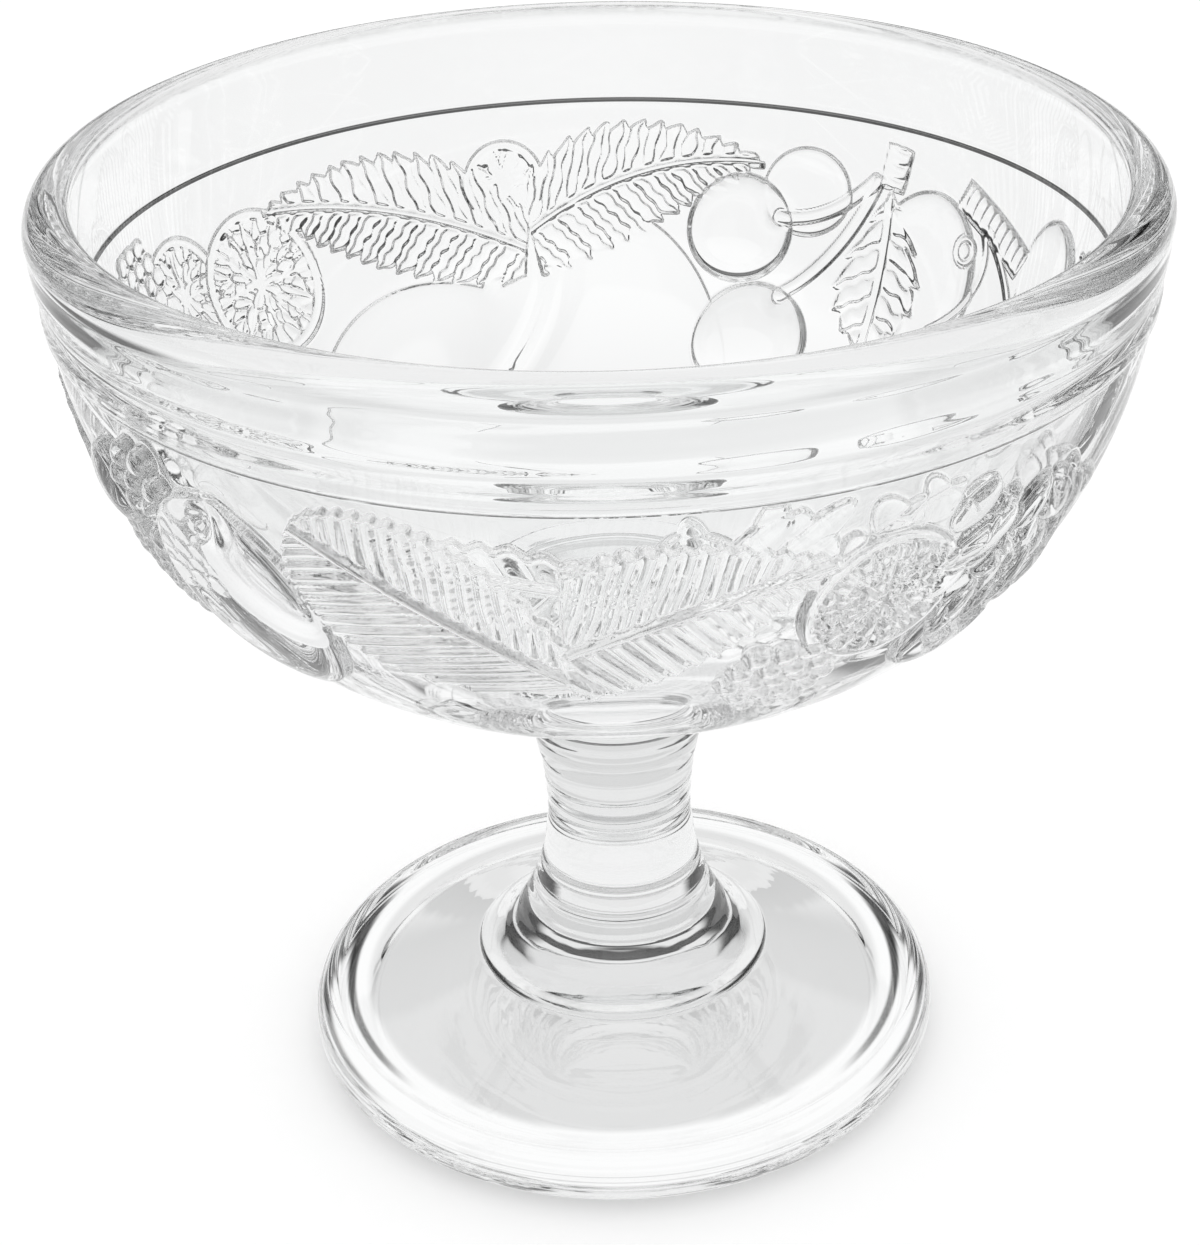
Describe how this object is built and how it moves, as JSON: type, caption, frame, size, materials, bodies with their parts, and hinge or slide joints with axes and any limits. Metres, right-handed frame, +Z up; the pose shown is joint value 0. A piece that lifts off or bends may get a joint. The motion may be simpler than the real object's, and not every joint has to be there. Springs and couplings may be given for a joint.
{
  "type": "footed dessert glass",
  "caption": "Clear pressed-glass dessert coupe: wide round bowl with a plain rim band above a fruit-and-leaf relief, on a waisted stem and a round foot.",
  "frame": {"origin": "centre of the foot's resting ring, on the table", "axes": "+Z up along the glass's axis; -Y faces the viewer of the picture"},
  "size_m": [0.11, 0.11, 0.1022],
  "materials": {
    "bowl_glass": "fire-polished clear pressed glass with a moulded relief outside",
    "stem_glass": "fire-polished clear glass",
    "foot_glass": "fire-polished clear pressed glass"
  },
  "bodies": {
    "root": {"bowl": "bowl_glass", "stem": "stem_glass", "foot": "foot_glass"}
  },
  "joints": []
}
